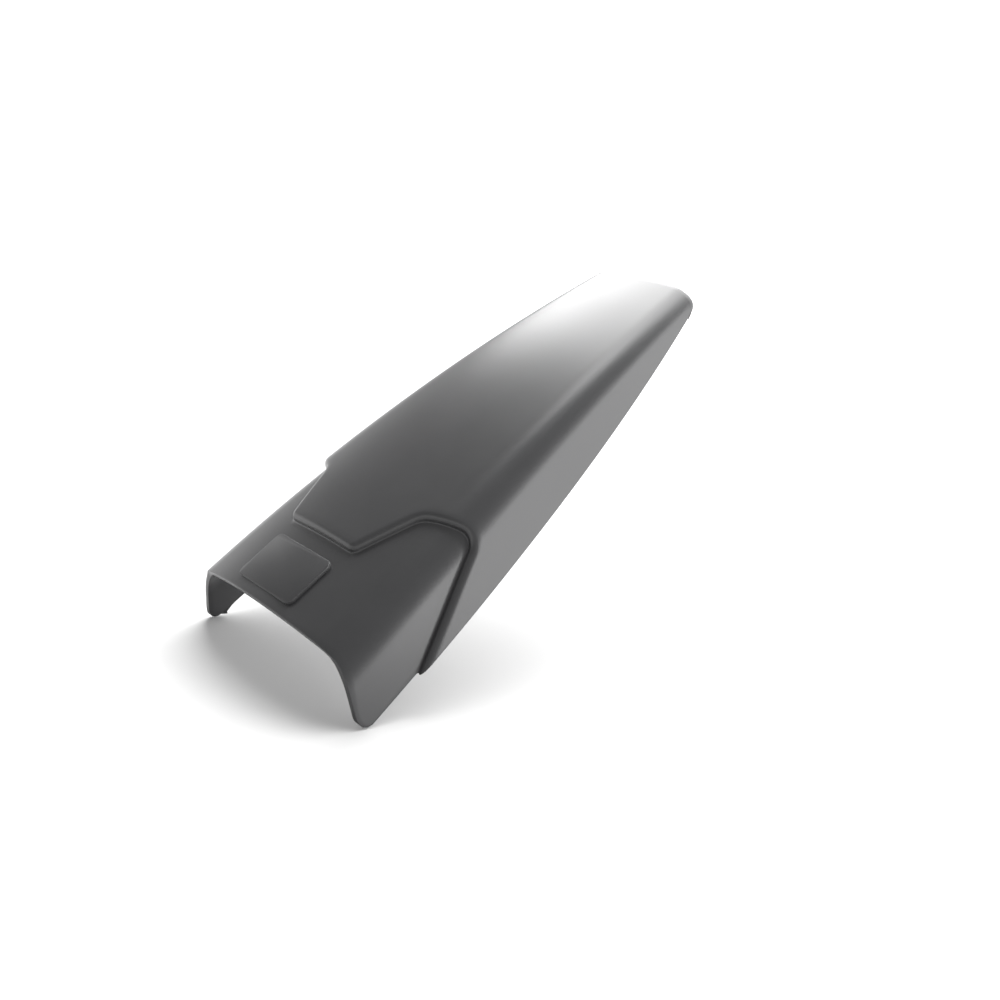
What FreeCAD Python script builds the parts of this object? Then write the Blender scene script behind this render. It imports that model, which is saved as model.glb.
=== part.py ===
import FreeCAD, Part
import math
import os

# Rear mudguard extender: one moulded shell, tilted as it sits when fitted.
# Millimetres. X runs rearwards, Y to the right as seen from behind, Z up.
# The origin is the middle of the bonding land on the hidden tongue.

# Lengthwise form of the deck
DECK_RADIUS = 1200.0
LAND_SLOPE = 33.0
LAND_TO_JOINT = 20.0
VISIBLE_LENGTH = 186.0
TONGUE_REACH = 37.0

# Cross-section, at the joint and at the tail
JOINT_HALF_WIDTH = 59.3
TAIL_HALF_WIDTH = 31.1
SIDE_BOW = 2.3
CROWN_RADIUS = 234.0
JOINT_SKIRT_ANGLE = 71.0
TAIL_SKIRT_ANGLE = 57.0
JOINT_SHOULDER_RADIUS = 24.0
TAIL_SHOULDER_RADIUS = 14.0

# Wall and the joggle that drops the tongue below the skin
WALL = 3.0
JOGGLE_STEP = 3.5
JOGGLE_WEB = 3.5
JOGGLE_ROLL = 3.0

# Joint line on the developed skin: distance around from the middle and back from the joint
NOTCH_AROUND = 25.8
NOTCH_ROUND = 1.0
CREST_AROUND = 38.7
CREST_BACK = 27.4
CREST_ROUND = 10.0
CORNER_AROUND = 63.0
CORNER_BACK = 35.9
CORNER_ROUND = 8.0
KINK_AROUND = 77.7
KINK_BACK = 6.0
KINK_ROUND = 25.0
TIP_AROUND = 89.5
TIP_AHEAD = 18.9

# Lower skirt edge, tail and hidden front end, in side view
SKIRT_EDGE_SLOPE = 36.2
SKIRT_EDGE_DROP = 42.2
TAIL_CORNER_ROUND = 5.0
TONGUE_CORNER_DOWN = 14.0
TONGUE_TIP_AHEAD = 24.0
TONGUE_ROUND = 8.0
TONGUE_TIP_ROUND = 4.0

# Bonding land
LAND_WIDTH = 44.0
LAND_LENGTH = 24.0
LAND_HEIGHT = 0.4
LAND_CORNER = 3.0

# Stations of the lofts, facets of the roll and margins of the cutting solids
STATION_COUNT = 6
CURVE_SPANS = 4
ROLL_STRIPS = 2
ROLL_TURN = math.radians(78.0)
ROLL_PAST = 0.1
CUT_MARGIN = 2.0
END_MARGIN = 40.0

LAND_LEVEL = LAND_HEIGHT - JOGGLE_STEP
FRONT_AT = LAND_TO_JOINT - TONGUE_REACH
TAIL_AT = LAND_TO_JOINT + VISIBLE_LENGTH
ACROSS = FreeCAD.Vector(0.0, 1.0, 0.0)


def slope_at(s):
    """Pitch of the deck, in radians, at distance s along it from the land."""
    return math.radians(LAND_SLOPE) - s / DECK_RADIUS


def in_space(s, y, n):
    """Point at distance s along the deck, y across it and n above its outer face."""
    start = slope_at(0.0)
    here = slope_at(s)
    x = (DECK_RADIUS + LAND_LEVEL) * math.sin(start) - (DECK_RADIUS + n) * math.sin(here)
    z = (DECK_RADIUS + n) * math.cos(here) - (DECK_RADIUS + LAND_LEVEL) * math.cos(start)
    return FreeCAD.Vector(x, y, z)


class Section:
    """Cross-section at distance s: crowned deck, round shoulders and straight sloping skirts."""

    def __init__(self, s):
        share = (s - LAND_TO_JOINT) / VISIBLE_LENGTH

        def taper(joint_value, tail_value):
            return joint_value + (tail_value - joint_value) * share

        half_width = taper(JOINT_HALF_WIDTH, TAIL_HALF_WIDTH) + 4 * SIDE_BOW * share * (1 - share)
        self.s = s
        self.skirt_lean = math.radians(taper(JOINT_SKIRT_ANGLE, TAIL_SKIRT_ANGLE))
        self.shoulder = taper(JOINT_SHOULDER_RADIUS, TAIL_SHOULDER_RADIUS)
        self.crown = CROWN_RADIUS

        # The shoulder's centre is one shoulder radius inside both the deck and the skirt
        cosine = math.cos(self.skirt_lean)
        sine = math.sin(self.skirt_lean)
        base_y = half_width - self.shoulder * sine
        base_n = math.sqrt(self.crown ** 2 - half_width ** 2) - self.shoulder * cosine
        lean = base_y * cosine - base_n * sine
        gap = base_y ** 2 + base_n ** 2 - (self.crown - self.shoulder) ** 2
        along = -lean - math.sqrt(lean ** 2 - gap)
        self.centre_y = base_y + along * cosine
        self.centre_n = base_n - along * sine - self.crown

        self.deck_lean = math.atan2(self.centre_y, self.centre_n + self.crown)
        self.deck_end = self.crown * self.deck_lean
        self.skirt_start = self.deck_end + self.shoulder * (self.skirt_lean - self.deck_lean)

    def point(self, around, lift):
        """Point at a distance around the outer face from its middle, lifted off it."""
        side = math.copysign(1.0, around)
        distance = abs(around)
        if distance < self.deck_end:
            lean = distance / self.crown
            y = (self.crown + lift) * math.sin(lean)
            n = (self.crown + lift) * math.cos(lean) - self.crown
        else:
            past = min(distance, self.skirt_start) - self.deck_end
            down = max(distance - self.skirt_start, 0.0)
            lean = self.deck_lean + past / self.shoulder
            y = self.centre_y + (self.shoulder + lift) * math.sin(lean) + down * math.cos(lean)
            n = self.centre_n + (self.shoulder + lift) * math.cos(lean) - down * math.sin(lean)
        return in_space(self.s, side * y, n)

    def bend(self, centre_y, centre_n, radius, first_lean, last_lean):
        """Arc of the outline between two leans, as one cubic curve."""
        reach = 4 / 3 * math.tan((last_lean - first_lean) / 4) * radius
        poles = []
        for lean, ahead in ((first_lean, 0.0), (first_lean, reach), (last_lean, -reach), (last_lean, 0.0)):
            y = centre_y + radius * math.sin(lean) + ahead * math.cos(lean)
            n = centre_n + radius * math.cos(lean) - ahead * math.sin(lean)
            poles.append(in_space(self.s, y, n))
        curve = Part.BezierCurve()
        curve.setPoles(poles)
        return curve.toShape()

    def wire(self, inset):
        """Closed outline of the section, set in from the outer face by inset."""
        shoulder = self.shoulder - inset
        skirt_top = self.centre_n + shoulder * math.cos(self.skirt_lean)
        depth = SKIRT_EDGE_DROP + JOGGLE_STEP + WALL + CUT_MARGIN + inset
        foot = self.skirt_start + (skirt_top + depth) / math.sin(self.skirt_lean)
        left_foot = self.point(-foot, -inset)
        right_foot = self.point(foot, -inset)
        left_top = self.point(-self.skirt_start, -inset)
        right_top = self.point(self.skirt_start, -inset)
        edges = [
            Part.LineSegment(left_foot, left_top).toShape(),
            self.bend(-self.centre_y, self.centre_n, shoulder, -self.skirt_lean, -self.deck_lean),
            self.bend(0.0, -self.crown, self.crown - inset, -self.deck_lean, self.deck_lean),
            self.bend(self.centre_y, self.centre_n, shoulder, self.deck_lean, self.skirt_lean),
            Part.LineSegment(right_top, right_foot).toShape(),
            Part.LineSegment(right_foot, left_foot).toShape(),
        ]
        return Part.Wire(edges)


def hood(inset, back_to):
    """Solid under the outer face, set in by inset, from ahead of the tongue to past back_to."""
    first = FRONT_AT - END_MARGIN - inset
    last = back_to + END_MARGIN + inset
    stations = [first + (last - first) * i / (STATION_COUNT - 1) for i in range(STATION_COUNT)]
    return Part.makeLoft([Section(s).wire(inset) for s in stations], True, False)


def rounded(points, radii):
    """Edges through points, each inner corner rounded by its radius; the ends stay as they are."""
    edges = []
    start = points[0]
    for i in range(1, len(points) - 1):
        corner = points[i]
        before = (points[i - 1] - corner).normalize()
        after = (points[i + 1] - corner).normalize()
        half_turn = before.getAngle(after) / 2
        reach = radii[i] / math.tan(half_turn)
        bisector = (before + after).normalize()
        middle = corner + bisector * (radii[i] / math.sin(half_turn) - radii[i])
        edges.append(Part.LineSegment(start, corner + before * reach).toShape())
        start = corner + after * reach
        edges.append(Part.Arc(corner + before * reach, middle, start).toShape())
    edges.append(Part.LineSegment(start, points[-1]).toShape())
    return edges


def lip_setback(roll):
    """How far behind the joint line a roll of that radius meets the skin."""
    sagitta = roll - roll * math.sin(ROLL_TURN)
    return roll - roll * math.cos(ROLL_TURN) + (ROLL_PAST + sagitta) * math.tan(ROLL_TURN)


def joint_line():
    """Joint line on the developed skin, from left to right: X is around, Y is back."""
    fall = (KINK_BACK + TIP_AHEAD) / (TIP_AROUND - KINK_AROUND)
    half = [
        (TIP_AROUND + END_MARGIN, -TIP_AHEAD - fall * END_MARGIN, 0.0),
        (KINK_AROUND, KINK_BACK, KINK_ROUND),
        (CORNER_AROUND, CORNER_BACK, CORNER_ROUND),
        (CREST_AROUND, CREST_BACK, CREST_ROUND),
        (NOTCH_AROUND, 0.0, NOTCH_ROUND + max(JOGGLE_WEB, lip_setback(JOGGLE_ROLL))),
    ]
    corners = [(-a, b, r) for a, b, r in half] + list(reversed(half))
    points = [FreeCAD.Vector(a, b, 0.0) for a, b, r in corners]
    return rounded(points, [r for a, b, r in corners])


def wall_profile(setback, roll):
    """Profile of a wall along the joint, from its foot up: distance behind the line and lift."""
    foot = -JOGGLE_STEP - WALL - 2 * CUT_MARGIN
    head = 2 * CUT_MARGIN
    if not roll:
        return [(setback, foot), (setback, head)]
    turns = [ROLL_TURN * i / ROLL_STRIPS for i in range(ROLL_STRIPS + 1)]
    bend = [(setback + roll - roll * math.cos(turn), roll * math.sin(turn) - roll) for turn in turns]
    lip = setback + lip_setback(roll)
    return [(setback, foot)] + bend + [(lip, ROLL_PAST), (lip, head)]


def joint_wall(setback, roll):
    """Wall square to the skin, set back from the joint line, with its top edge rolled."""
    faces = []
    for flat in joint_line():
        first = flat.FirstParameter
        span = (flat.LastParameter - first) / CURVE_SPANS
        steps = [first + span * i for i in range(CURVE_SPANS + 1)]
        places = [flat.valueAt(step) for step in steps]
        tangents = [flat.tangentAt(step) for step in steps]
        backward = [FreeCAD.Vector(-tangent.y, tangent.x, 0.0) for tangent in tangents]
        rings = []
        for distance, lift in wall_profile(setback, roll):
            line = [place + back * distance for place, back in zip(places, backward)]
            ring = Part.BSplineCurve()
            ring.interpolate([Section(LAND_TO_JOINT + spot.y).point(spot.x, lift) for spot in line])
            rings.append(ring.toShape())
        faces += [Part.makeRuledSurface(low, high) for low, high in zip(rings, rings[1:])]
    wall = Part.Shell(faces)
    wall.sewShape()
    return wall


def ahead_of_joint(band, setback, roll):
    """Front part of a thick band round the skin, up to a wall set back from the joint line."""
    pieces = band.generalFuse([joint_wall(setback, roll)])[0].Solids
    return min(pieces, key=lambda piece: piece.CenterOfMass.x)


def side_profile():
    """Side view of the whole part: lower skirt edge, tail and hidden front end, as a slab."""
    rise = math.tan(math.radians(SKIRT_EDGE_SLOPE))

    def on_skirt_edge(x):
        return FreeCAD.Vector(x, 0.0, rise * x - SKIRT_EDGE_DROP)

    reach = 2 * JOINT_HALF_WIDTH
    front_top = in_space(FRONT_AT, 0.0, reach)
    tail_top = in_space(TAIL_AT, 0.0, reach)
    tail_run = in_space(TAIL_AT, 0.0, -reach) - tail_top
    share = (on_skirt_edge(tail_top.x).z - tail_top.z) / (tail_run.z - rise * tail_run.x)
    tip = in_space(LAND_TO_JOINT - TONGUE_TIP_AHEAD, 0.0, 0.0)
    points = [
        front_top,
        in_space(FRONT_AT, 0.0, -TONGUE_CORNER_DOWN),
        on_skirt_edge(tip.x),
        tail_top + tail_run * share,
        tail_top,
    ]
    edges = rounded(points, [0.0, TONGUE_ROUND, TONGUE_TIP_ROUND, TAIL_CORNER_ROUND, 0.0])
    edges.append(Part.LineSegment(tail_top, front_top).toShape())
    face = Part.Face(Part.Wire(edges))
    face.translate(ACROSS * -reach)
    return face.extrude(ACROSS * 2 * reach)


def bonding_land():
    """Flat raised pad on the tongue that the double-sided tape takes."""
    half_length = LAND_LENGTH / 2
    half_width = LAND_WIDTH / 2
    corners = [(1, 0), (1, 1), (-1, 1), (-1, -1), (1, -1), (1, 0)]
    points = [FreeCAD.Vector(half_length * i, half_width * j, 0.0) for i, j in corners]
    pad = Part.Face(Part.Wire(rounded(points, [LAND_CORNER] * len(points))))
    pad = pad.extrude(FreeCAD.Vector(0.0, 0.0, -LAND_HEIGHT - WALL / 2))
    pad.rotate(FreeCAD.Vector(0.0, 0.0, 0.0), ACROSS, -LAND_SLOPE)
    return pad


def extender():
    """Whole moulded piece: skin, joggle, tongue and bonding land."""
    joint_end = LAND_TO_JOINT + CORNER_BACK + JOGGLE_WEB
    band = hood(-CUT_MARGIN, joint_end).cut(hood(JOGGLE_STEP + WALL + CUT_MARGIN, joint_end))
    covered = ahead_of_joint(band, 0.0, JOGGLE_ROLL)
    thickened = ahead_of_joint(band, JOGGLE_WEB, 0.0)
    body = hood(0.0, TAIL_AT).cut(covered.cut(hood(JOGGLE_STEP, TAIL_AT)))
    body = body.cut(hood(WALL, TAIL_AT).cut(thickened))
    body = body.cut(hood(JOGGLE_STEP + WALL, TAIL_AT)).common(side_profile())
    return body.fuse(bonding_land()).removeSplitter()


os.makedirs("parts", exist_ok=True)
extender().exportStep("parts/mudguard_extender.step")
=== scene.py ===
import math
import bpy
import bmesh
from mathutils import Matrix, Vector


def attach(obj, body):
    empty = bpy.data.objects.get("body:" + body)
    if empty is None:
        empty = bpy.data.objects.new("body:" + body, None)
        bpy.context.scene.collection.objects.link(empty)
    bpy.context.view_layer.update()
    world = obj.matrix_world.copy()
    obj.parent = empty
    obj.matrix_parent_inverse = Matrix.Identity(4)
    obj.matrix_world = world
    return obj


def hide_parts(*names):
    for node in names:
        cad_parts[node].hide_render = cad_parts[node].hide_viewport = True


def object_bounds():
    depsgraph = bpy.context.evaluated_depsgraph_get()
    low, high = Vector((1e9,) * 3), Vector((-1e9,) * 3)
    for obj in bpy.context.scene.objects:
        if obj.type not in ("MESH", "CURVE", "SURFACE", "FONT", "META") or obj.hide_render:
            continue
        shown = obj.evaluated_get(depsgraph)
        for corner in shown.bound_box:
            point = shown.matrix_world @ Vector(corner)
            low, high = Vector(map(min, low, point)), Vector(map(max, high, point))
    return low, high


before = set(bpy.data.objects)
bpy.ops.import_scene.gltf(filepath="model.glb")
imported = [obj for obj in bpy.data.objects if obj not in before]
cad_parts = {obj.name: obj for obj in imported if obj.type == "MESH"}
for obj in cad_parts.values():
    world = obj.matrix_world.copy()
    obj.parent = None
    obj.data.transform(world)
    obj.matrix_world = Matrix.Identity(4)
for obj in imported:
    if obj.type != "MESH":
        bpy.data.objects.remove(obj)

cad_low, cad_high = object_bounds()


# Extender shell
# One injection moulding in black ABS, 3 mm thick, with a satin, finely spark-eroded skin. Its deck,
# shoulders and skirts taper to the tail, and at the lobed joint line a joggle drops the wall to a
# tongue, by which the part is bonded in place. Lengths in this section are in millimetres.
MM = 0.001

DECK_RADIUS = 1200.0
LAND_SLOPE = math.radians(33.0)
LAND_TO_JOINT = 20.0
VISIBLE_LENGTH = 186.0
TONGUE_REACH = 37.0
FRONT_AT = LAND_TO_JOINT - TONGUE_REACH
TAIL_AT = LAND_TO_JOINT + VISIBLE_LENGTH

JOINT_HALF_WIDTH = 59.3
TAIL_HALF_WIDTH = 31.1
SIDE_BOW = 2.3
CROWN_RADIUS = 234.0
JOINT_SKIRT_LEAN = math.radians(71.0)
TAIL_SKIRT_LEAN = math.radians(57.0)
JOINT_SHOULDER_RADIUS = 24.0
TAIL_SHOULDER_RADIUS = 14.0

WALL = 3.0
JOGGLE_STEP = 3.5
JOGGLE_WEB = 3.5
JOGGLE_ROLL = 3.0
INNER_ROUND = 0.5
RIM_ROUND = 0.45
LAND_HEIGHT = 0.4
LAND_LEVEL = LAND_HEIGHT - JOGGLE_STEP

SKIRT_EDGE_RISE = math.tan(math.radians(36.2))
SKIRT_EDGE_DROP = 42.2
TAIL_CORNER_ROUND = 5.0
TONGUE_CORNER_DOWN = 14.0
TONGUE_TIP_AHEAD = 24.0
TONGUE_ROUND = 8.0
TONGUE_TIP_ROUND = 4.0
END_MARGIN = 20.0

# Middle of the deck's lengthwise arc, with the bonding land at the origin
ARC_X = (DECK_RADIUS + LAND_LEVEL) * math.sin(LAND_SLOPE)
ARC_Z = -(DECK_RADIUS + LAND_LEVEL) * math.cos(LAND_SLOPE)


def in_space(s, y, n):
    """Point at distance s along the deck from the land, y across it and n above its outer face."""
    pitch = LAND_SLOPE - s / DECK_RADIUS
    radius = DECK_RADIUS + n
    return Vector((ARC_X - radius * math.sin(pitch), y, ARC_Z + radius * math.cos(pitch)))


def along_and_up(x, z):
    """Distance along the deck and height above it of a point in side view."""
    pitch = math.atan2(ARC_X - x, z - ARC_Z)
    return (LAND_SLOPE - pitch) * DECK_RADIUS, math.hypot(ARC_X - x, z - ARC_Z) - DECK_RADIUS


def taper(at_joint, at_tail, share):
    """Value at a share of the way from the joint to the tail."""
    return at_joint + (at_tail - at_joint) * share


class Section:
    """Cross-section at distance s: crowned deck, round shoulders and straight sloping skirts."""

    def __init__(self, s):
        share = (s - LAND_TO_JOINT) / VISIBLE_LENGTH
        bow = 4 * SIDE_BOW * share * (1 - share)
        half_width = taper(JOINT_HALF_WIDTH, TAIL_HALF_WIDTH, share) + bow
        self.s = s
        self.skirt_lean = taper(JOINT_SKIRT_LEAN, TAIL_SKIRT_LEAN, share)
        self.shoulder = taper(JOINT_SHOULDER_RADIUS, TAIL_SHOULDER_RADIUS, share)
        cosine = math.cos(self.skirt_lean)
        sine = math.sin(self.skirt_lean)
        # The shoulder's centre is one shoulder radius inside both the deck and the skirt
        base_y = half_width - self.shoulder * sine
        base_n = math.sqrt(CROWN_RADIUS ** 2 - half_width ** 2) - self.shoulder * cosine
        lean = base_y * cosine - base_n * sine
        gap = base_y ** 2 + base_n ** 2 - (CROWN_RADIUS - self.shoulder) ** 2
        along = -lean - math.sqrt(lean ** 2 - gap)
        self.centre_y = base_y + along * cosine
        self.centre_n = base_n - along * sine - CROWN_RADIUS
        self.deck_lean = math.atan2(self.centre_y, self.centre_n + CROWN_RADIUS)
        self.deck_end = CROWN_RADIUS * self.deck_lean
        self.skirt_start = self.deck_end + self.shoulder * (self.skirt_lean - self.deck_lean)

    def point(self, around, lift):
        """Point at a distance around the outer face from its middle, lifted off it."""
        distance = abs(around)
        if distance < self.deck_end:
            lean = distance / CROWN_RADIUS
            y = (CROWN_RADIUS + lift) * math.sin(lean)
            n = (CROWN_RADIUS + lift) * math.cos(lean) - CROWN_RADIUS
        else:
            past = min(distance, self.skirt_start) - self.deck_end
            down = max(distance - self.skirt_start, 0.0)
            lean = self.deck_lean + past / self.shoulder
            y = self.centre_y + (self.shoulder + lift) * math.sin(lean) + down * math.cos(lean)
            n = self.centre_n + (self.shoulder + lift) * math.cos(lean) - down * math.sin(lean)
        return in_space(self.s, math.copysign(y, around), n)

    def around_at(self, n, lift):
        """Distance around at which the lifted face has sunk to height n."""
        radius = self.shoulder + lift
        skirt_top = self.centre_n + radius * math.cos(self.skirt_lean)
        if n < skirt_top:
            return self.skirt_start + (skirt_top - n) / math.sin(self.skirt_lean)
        lean = math.acos(min((n - self.centre_n) / radius, math.cos(self.deck_lean)))
        return self.deck_end + self.shoulder * (lean - self.deck_lean)

    def skirt_edge(self, lift):
        """Distance around to the lower skirt edge, which is a straight line in side view."""
        pitch = LAND_SLOPE - self.s / DECK_RADIUS
        level = SKIRT_EDGE_RISE * ARC_X - ARC_Z - SKIRT_EDGE_DROP
        n = level / (math.cos(pitch) + SKIRT_EDGE_RISE * math.sin(pitch)) - DECK_RADIUS
        return self.around_at(n, lift)


def rounded(corners, run_step, turn_step):
    """Points and directions along a line through corners (x, y, radius), with each corner rounded."""
    path = []
    start = Vector(corners[0][:2])
    for before, corner, after in zip(corners, corners[1:], corners[2:]):
        tip = Vector(corner[:2])
        radius = corner[2]
        back = (Vector(before[:2]) - tip).normalized()
        ahead = (Vector(after[:2]) - tip).normalized()
        half = back.angle(ahead) / 2
        first = tip + back * (radius / math.tan(half))
        centre = tip + (back + ahead).normalized() * (radius / math.sin(half))
        runs = max(1, round((first - start).length / run_step))
        path += [(start.lerp(first, i / runs), -back) for i in range(runs)]
        sweep = math.copysign(math.pi - 2 * half, (-back).cross(ahead))
        turns = max(2, round(abs(sweep) * radius / turn_step))
        for i in range(turns):
            turn = Matrix.Rotation(sweep * i / turns, 2)
            path.append((centre + turn @ (first - centre), turn @ -back))
        start = tip + ahead * (radius / math.tan(half))
    end = Vector(corners[-1][:2])
    runs = max(1, round((end - start).length / run_step))
    return path + [(start.lerp(end, i / runs), (end - start).normalized()) for i in range(runs + 1)]


# Right half of the joint line on the developed skin, from the middle to below the skirt edge: distance
# around, distance back and the corner's radius, with the spacing of the mesh along runs and turns
JOINT_MIDDLE = (0.0, 0.0)
NOTCH = (25.8, 0.0, 4.5)
CREST = (38.7, 27.4, 10.0)
CORNER = (63.0, 35.9, 8.0)
KINK = (77.7, 6.0, 25.0)
BELOW_SKIRT = (129.5, -103.314)
JOINT_RUN_STEP = 2.6
JOINT_TURN_STEP = 0.8
HALVINGS = 40
joint_half = rounded(
    [JOINT_MIDDLE, NOTCH, CREST, CORNER, KINK, BELOW_SKIRT], JOINT_RUN_STEP, JOINT_TURN_STEP
)


def joint_spot(spot, run, setback, lift):
    """Share of the way round to the skirt edge, and distance along, of a place behind the joint line."""
    place = spot + Vector((-run.y, run.x)) * setback
    section = Section(LAND_TO_JOINT + place.y)
    return place.x / section.skirt_edge(lift), section.s


def joint_ring(setback, lift, columns):
    """One ring along the joint, from its middle to the skirt edge, which is found by halving."""
    ring = [joint_spot(spot, run, setback, lift) for spot, run in joint_half[:columns]]
    spot, run = joint_half[columns - 1]
    near = 0.0
    far = END_MARGIN
    for halving in range(HALVINGS):
        middle = (near + far) / 2
        if joint_spot(spot + run * middle, run, setback, lift)[0] < 1.0:
            near = middle
        else:
            far = middle
    return ring + [(1.0, joint_spot(spot + run * near, run, setback, lift)[1])]


def on_skirt_edge(x):
    """Point of the lower skirt edge in side view."""
    return x, SKIRT_EDGE_RISE * x - SKIRT_EDGE_DROP


# The two ends in side view, from above the deck down to the skirt edge and along it
END_STEP = 0.2
FLAT_TOLERANCE = 0.001
EDGE_REACHED = 0.9999
front_high = in_space(FRONT_AT, 0.0, END_MARGIN)
front_low = in_space(FRONT_AT, 0.0, -TONGUE_CORNER_DOWN)
tongue_tip = on_skirt_edge(in_space(LAND_TO_JOINT - TONGUE_TIP_AHEAD, 0.0, 0.0).x)
front_line = rounded(
    [
        (front_high.x, front_high.z),
        (front_low.x, front_low.z, TONGUE_ROUND),
        (tongue_tip[0], tongue_tip[1], TONGUE_TIP_ROUND),
        on_skirt_edge(tongue_tip[0] + END_MARGIN),
    ],
    END_STEP,
    END_STEP,
)
tail_high = in_space(TAIL_AT, 0.0, END_MARGIN)
tail_run = in_space(TAIL_AT, 0.0, 0.0) - tail_high
tail_drop = (on_skirt_edge(tail_high.x)[1] - tail_high.z) / (tail_run.z - SKIRT_EDGE_RISE * tail_run.x)
tail_corner = tail_high + tail_run * tail_drop
tail_line = rounded(
    [
        (tail_high.x, tail_high.z),
        (tail_corner.x, tail_corner.z, TAIL_CORNER_ROUND),
        on_skirt_edge(tail_corner.x - END_MARGIN),
    ],
    END_STEP,
    END_STEP,
)


def end_edge(line, s_end, lift):
    """Edge of one end as shares of the way round and distances along, from its flat to the skirt edge."""
    edge = []
    for spot, run in line:
        s, n = along_and_up(spot.x, spot.y)
        section = Section(s)
        share = section.around_at(n, lift) / section.skirt_edge(lift)
        ended = edge and edge[-1][0] > EDGE_REACHED
        if abs(s - s_end) > FLAT_TOLERANCE and not ended:
            edge.append((min(share, 1.0), s))
    return edge


def on_end(edge, s_end, share):
    """Place on an end's edge for a column that comes in at a share of the way round."""
    first = edge[0][0]
    if share <= first:
        return share, s_end
    spot = (share - first) / (1.0 - first) * (len(edge) - 1)
    low = min(int(spot), len(edge) - 2)
    part = spot - low
    return tuple(a + (b - a) * part for a, b in zip(edge[low], edge[low + 1]))


LAST_COLUMN_SHARE = 0.965
HALF_COLUMNS = sum(
    1 for spot, run in joint_half if joint_spot(spot, run, 0.0, 0.0)[0] < LAST_COLUMN_SHARE
)
TONGUE_ROWS = 20
SKIN_ROWS = 72


def sheet(bm, profile):
    """Face of the shell: tongue, the profile along the joint, then the skin back to the tail."""
    tongue_lift = profile[0][1]
    skin_lift = profile[-1][1]
    rings = [joint_ring(setback, lift, HALF_COLUMNS) for setback, lift in profile]
    front = end_edge(front_line, FRONT_AT, tongue_lift)
    tail = end_edge(tail_line, TAIL_AT, skin_lift)
    rows = TONGUE_ROWS + len(rings) - 1 + SKIN_ROWS
    grid = bmesh.ops.create_grid(bm, x_segments=2 * HALF_COLUMNS, y_segments=rows, size=1.0)
    for vert in grid["verts"]:
        column = round(vert.co.x * HALF_COLUMNS)
        row = round((vert.co.y + 1.0) / 2.0 * rows)
        ring = min(max(row - TONGUE_ROWS, 0), len(rings) - 1)
        share, s = rings[ring][abs(column)]
        lift = profile[ring][1]
        if row < TONGUE_ROWS:
            end = on_end(front, FRONT_AT, share)
            part = 1.0 - row / TONGUE_ROWS
        else:
            end = on_end(tail, TAIL_AT, share)
            part = max(row - TONGUE_ROWS - len(rings) + 1, 0) / SKIN_ROWS
        share += (end[0] - share) * part
        s += (end[1] - s) * part
        section = Section(s)
        vert.co = section.point(math.copysign(share, column) * section.skirt_edge(lift), lift) * MM


# Profiles across the joint, from the tongue up to the skin: distance behind the line and lift
ROLL_STEPS = 6
ROUND_SAG = 0.3 * INNER_ROUND
outer_profile = [
    (-INNER_ROUND, -JOGGLE_STEP),
    (-ROUND_SAG, ROUND_SAG - JOGGLE_STEP),
    (0.0, INNER_ROUND - JOGGLE_STEP),
]
for step in range(1, ROLL_STEPS + 1):
    turn = math.radians(90.0) * step / ROLL_STEPS
    setback = JOGGLE_ROLL - JOGGLE_ROLL * math.cos(turn)
    outer_profile.append((setback, JOGGLE_ROLL * math.sin(turn) - JOGGLE_ROLL))

TONGUE_INNER = -JOGGLE_STEP - WALL
WEB_MIDDLE = (TONGUE_INNER - WALL) / 2
WEB_STEP = 0.5
inner_profile = [
    (JOGGLE_WEB - INNER_ROUND, TONGUE_INNER),
    (JOGGLE_WEB - ROUND_SAG, TONGUE_INNER + ROUND_SAG),
    (JOGGLE_WEB, TONGUE_INNER + INNER_ROUND),
    (JOGGLE_WEB, WEB_MIDDLE - WEB_STEP),
    (JOGGLE_WEB, WEB_MIDDLE),
    (JOGGLE_WEB, WEB_MIDDLE + WEB_STEP),
    (JOGGLE_WEB, -WALL - INNER_ROUND),
    (JOGGLE_WEB + ROUND_SAG, -WALL - ROUND_SAG),
    (JOGGLE_WEB + INNER_ROUND, -WALL),
]

SHARP_ANGLE = math.radians(50.0)
bm = bmesh.new()
sheet(bm, outer_profile)
sheet(bm, inner_profile)
# An edge from each corner across its face lets the round of the rim pass the corner cleanly
for corner in [vert for vert in bm.verts if len(vert.link_faces) == 1]:
    joined = {vert for edge in corner.link_edges for vert in edge.verts}
    across = [vert for vert in corner.link_faces[0].verts if vert not in joined]
    bmesh.ops.connect_verts(bm, verts=[corner] + across)
rim = [edge for edge in bm.edges if edge.is_boundary]
bmesh.ops.bridge_loops(bm, edges=rim)
bmesh.ops.recalc_face_normals(bm, faces=bm.faces)
bmesh.ops.bevel(
    bm,
    geom=rim,
    offset=RIM_ROUND * MM,
    offset_type="OFFSET",
    segments=3,
    profile=0.5,
    affect="EDGES",
    material=-1,
)
shell_mesh = bpy.data.meshes.new("extender_shell")
bm.to_mesh(shell_mesh)
bm.free()
shell_mesh.shade_smooth()
shell_mesh.set_sharp_from_angle(angle=SHARP_ANGLE)
shell = bpy.data.objects.new("extender_shell", shell_mesh)
bpy.context.collection.objects.link(shell)
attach(shell, "root")
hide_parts("mudguard_extender")


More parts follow.
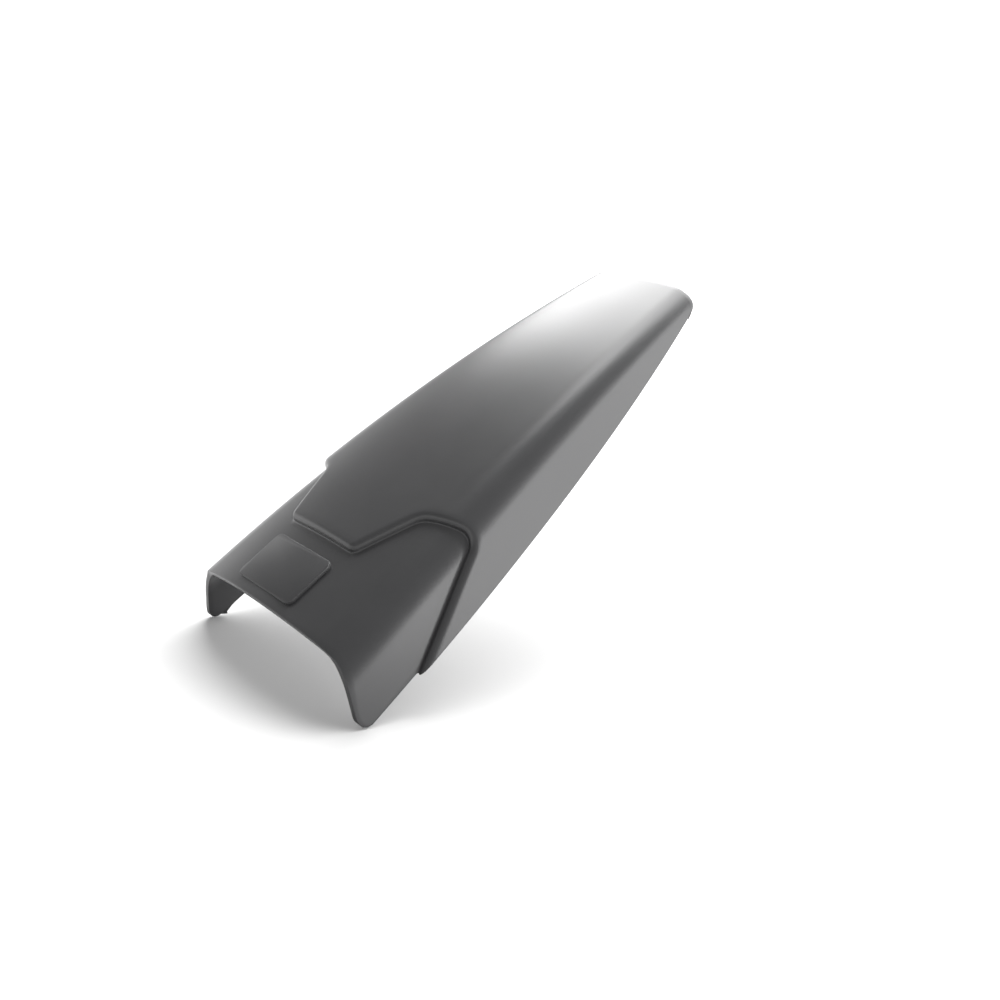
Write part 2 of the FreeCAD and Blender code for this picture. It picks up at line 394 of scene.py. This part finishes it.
class Wired:
    """A socket of a material's node tree that takes part in Python expressions."""

    def __init__(self, tree, socket=None):
        self.tree = tree
        self.socket = socket

    def node(self, kind, settings, output, inputs):
        """Output of a new node, from its type, its settings and the values or links of its sockets."""
        made = self.tree.nodes.new(kind)
        for name, value in settings.items():
            setattr(made, name, value)
        for key, value in inputs.items():
            if isinstance(value, Wired):
                self.tree.links.new(value.socket, made.inputs[key])
            else:
                made.inputs[key].default_value = value
        return Wired(self.tree, made.outputs[output])

    def feed(self, socket):
        """Link to a socket of a node that is there already."""
        self.tree.links.new(self.socket, socket)

    def maths(self, operation, first, second):
        """Math node on two values, either of which may be a number."""
        return self.node("ShaderNodeMath", {"operation": operation}, 0, {0: first, 1: second})

    def __add__(self, other):
        return self.maths("ADD", self, other)

    def __radd__(self, other):
        return self.maths("ADD", other, self)

    def __sub__(self, other):
        return self.maths("SUBTRACT", self, other)

    def __rsub__(self, other):
        return self.maths("SUBTRACT", other, self)

    def __mul__(self, other):
        return self.maths("MULTIPLY", self, other)

    def __rmul__(self, other):
        return self.maths("MULTIPLY", other, self)


SATIN_ROUGHNESS = 0.30
HANDLING_SHARE = 0.06
EROSION_SHARE = 0.05
NOISE_MEAN = 0.5
ABS_IOR = 1.5
DARK_BLACK = (0.020, 0.020, 0.021, 1.0)
WORN_BLACK = (0.026, 0.026, 0.027, 1.0)
EROSION_GRAIN = {"Scale": 2600.0, "Detail": 3.0, "Roughness": 0.6}
HANDLING_CLOUDS = {"Scale": 38.0, "Detail": 4.0, "Roughness": 0.55}
GRAIN_STRENGTH = 0.12
GRAIN_DEPTH = 0.0001

satin_black = bpy.data.materials.new("satin_black_abs")
satin_black.use_nodes = True
skin = Wired(satin_black.node_tree)
plastic = satin_black.node_tree.nodes["Principled BSDF"]
plastic.inputs["IOR"].default_value = ABS_IOR
place = skin.node("ShaderNodeTexCoord", {}, "Object", {})
erosion = skin.node("ShaderNodeTexNoise", {}, 0, {"Vector": place, **EROSION_GRAIN})
handling = skin.node("ShaderNodeTexNoise", {}, 0, {"Vector": place, **HANDLING_CLOUDS})

handled = HANDLING_SHARE * (handling - NOISE_MEAN)
eroded = EROSION_SHARE * (erosion - NOISE_MEAN)
roughness = SATIN_ROUGHNESS + handled + eroded
roughness.feed(plastic.inputs["Roughness"])
tint = skin.node(
    "ShaderNodeMix", {"data_type": "RGBA"}, 2, {"Factor": handling, 6: DARK_BLACK, 7: WORN_BLACK}
)
tint.feed(plastic.inputs["Base Color"])
bump = {"Strength": GRAIN_STRENGTH, "Distance": GRAIN_DEPTH, "Height": erosion}
grain = skin.node("ShaderNodeBump", {}, "Normal", bump)
grain.feed(plastic.inputs["Normal"])
shell_mesh.materials.append(satin_black)


# Bonding land
# A flat pad moulded in one with the tongue, in the same black ABS and with the same skin. It stands
# 0.4 mm proud and takes the double-sided tape; its root is sunk in the wall. Lengths in millimetres.
LAND_LENGTH = 24.0
LAND_WIDTH = 44.0
LAND_CORNER = 3.0
LAND_BRIM = 0.15
LAND_ROOT = 1.5
LAND_DEPTH = LAND_HEIGHT + LAND_ROOT

pad = bmesh.new()
bmesh.ops.create_cube(pad, size=1.0)
bmesh.ops.scale(pad, vec=Vector((LAND_LENGTH, LAND_WIDTH, LAND_DEPTH)) * MM, verts=pad.verts)
bmesh.ops.translate(pad, vec=(0.0, 0.0, -LAND_DEPTH / 2 * MM), verts=pad.verts)
corners = [edge for edge in pad.edges if edge.verts[0].co.xy == edge.verts[1].co.xy]
bmesh.ops.bevel(
    pad, geom=corners, offset=LAND_CORNER * MM, segments=8, profile=0.5, affect="EDGES", material=-1
)
brim = [edge for edge in pad.edges if all(vert.co.z > -LAND_HEIGHT / 4 * MM for vert in edge.verts)]
bmesh.ops.bevel(
    pad, geom=brim, offset=LAND_BRIM * MM, segments=2, profile=0.5, affect="EDGES", material=-1
)
bmesh.ops.rotate(pad, verts=pad.verts, matrix=Matrix.Rotation(-LAND_SLOPE, 3, "Y"))
bmesh.ops.recalc_face_normals(pad, faces=pad.faces)
land_mesh = bpy.data.meshes.new("bonding_land")
pad.to_mesh(land_mesh)
pad.free()
land_mesh.shade_smooth()
land_mesh.set_sharp_from_angle(angle=SHARP_ANGLE)
land = bpy.data.objects.new("bonding_land", land_mesh)
bpy.context.collection.objects.link(land)
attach(land, "root")
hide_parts("mudguard_extender")
land_mesh.materials.append(satin_black)


# Floor
# A wide sheet of grey studio paper, laid just under the lowest corners of the tongue. Past the part's
# shadow it looks pale from painted light, a glow it emits though it is no lamp; far away it sweeps up and
# the painted glow fades to the room, so no horizon shows. Metres.
FLOOR_GAP = 0.0005
FLOOR_REACH = 9.0
FLOOR_SQUARES = 36
SWEEP_FROM = 2.0
SWEEP_RISE = 0.1
PAPER_GREY = (0.45, 0.45, 0.45, 1.0)
PAPER_ROUGHNESS = 0.9
GLOW_STARTS = (0.3, 1.6)
GLOW_FADES = (4.2, 8.0)
GLOW = 1.3
GLOW_LOST = 1.01

slab = bmesh.new()
bmesh.ops.create_grid(slab, x_segments=FLOOR_SQUARES, y_segments=FLOOR_SQUARES, size=FLOOR_REACH)
for vert in slab.verts:
    sweep = SWEEP_RISE * max(vert.co.xy.length - SWEEP_FROM, 0.0) ** 2
    vert.co.z = cad_low.z - FLOOR_GAP + sweep
floor_mesh = bpy.data.meshes.new("floor")
slab.to_mesh(floor_mesh)
slab.free()
floor_mesh.shade_smooth()
floor = bpy.data.objects.new("floor", floor_mesh)
bpy.context.collection.objects.link(floor)

# Painted light: the paper's pale look comes from an emitted glow, not from its grey colour.
painted_glow_paper = bpy.data.materials.new("painted_glow_paper")
painted_glow_paper.use_nodes = True
painted_glow_paper.cycles.emission_sampling = "NONE"
paper = Wired(painted_glow_paper.node_tree)
pulp = painted_glow_paper.node_tree.nodes["Principled BSDF"]
pulp.inputs["Base Color"].default_value = PAPER_GREY
pulp.inputs["Roughness"].default_value = PAPER_ROUGHNESS
pulp.inputs["Emission Strength"].default_value = 1.0
spread = paper.node("ShaderNodeTexCoord", {}, "Object", {})
distance = paper.node("ShaderNodeVectorMath", {"operation": "LENGTH"}, "Value", {0: spread})


def smooth_step(span):
    """Rise from 0 to 1 between two distances from the part."""
    ends = {"Value": distance, "From Min": span[0], "From Max": span[1]}
    return paper.node("ShaderNodeMapRange", {"interpolation_type": "SMOOTHSTEP"}, 0, ends)


# Painted light: the paper emits a glow that rises past the part's shadow and fades far away.
glow = GLOW * smooth_step(GLOW_STARTS) - GLOW_LOST * smooth_step(GLOW_FADES)
glow.feed(pulp.inputs["Emission Color"])
floor_mesh.materials.append(painted_glow_paper)


# Studio light
# Two soft boxes of white cloth in a white room. The large one hangs over and behind the tail, and the
# other stands low behind the near side, turned on its corner. Metres and watts.
ROOM_LEVEL = 0.52


def panel(name, place_at, aim, width, height, watts, roll):
    """Soft box at a place, facing its aim and rolled about that line by some degrees."""
    lamp = bpy.data.lights.new(name, "AREA")
    lamp.shape = "RECTANGLE"
    lamp.size = width
    lamp.size_y = height
    lamp.energy = watts
    box = bpy.data.objects.new(name, lamp)
    facing = (Vector(aim) - Vector(place_at)).to_track_quat("-Z", "Y").to_matrix()
    turned = facing @ Matrix.Rotation(math.radians(roll), 3, "Z")
    box.matrix_world = Matrix.Translation(place_at) @ turned.to_4x4()
    box.visible_camera = False
    bpy.context.collection.objects.link(box)


panel(
    "tail_canopy",
    place_at=(1.00, 0.53, 1.16),
    aim=(0.12, 0.0, 0.06),
    width=1.73,
    height=2.17,
    watts=100.0,
    roll=30.8,
)
panel(
    "side_panel",
    place_at=(1.07, -1.06, 0.39),
    aim=(0.08, 0.0, 0.03),
    width=1.42,
    height=1.5,
    watts=45.0,
    roll=-45.0,
)

room = bpy.data.worlds.new("room")
room.use_nodes = True
walls = room.node_tree.nodes["Background"]
walls.inputs["Color"].default_value = (1.0, 1.0, 1.0, 1.0)
walls.inputs["Strength"].default_value = ROOM_LEVEL
bpy.context.scene.world = room
bpy.context.scene.view_settings.view_transform = "Standard"


# Camera
# The photograph's viewpoint and lens. It looks down on the skin from ahead of the joint, on the near
# side. Metres, and millimetres for the lens.
VIEWPOINT = (-0.24936, -0.51018, 0.20861)
VIEW_ALONG = Vector((0.5432, 0.7819, -0.3061))
FOCAL_LENGTH = 54.0
FRAME_WIDTH = 36.0

lens = bpy.data.cameras.new("photo_view")
lens.lens = FOCAL_LENGTH
lens.sensor_width = FRAME_WIDTH
camera = bpy.data.objects.new("photo_view", lens)
camera.location = VIEWPOINT
camera.rotation_euler = VIEW_ALONG.to_track_quat("-Z", "Y").to_euler()
bpy.context.collection.objects.link(camera)
bpy.context.scene.camera = camera
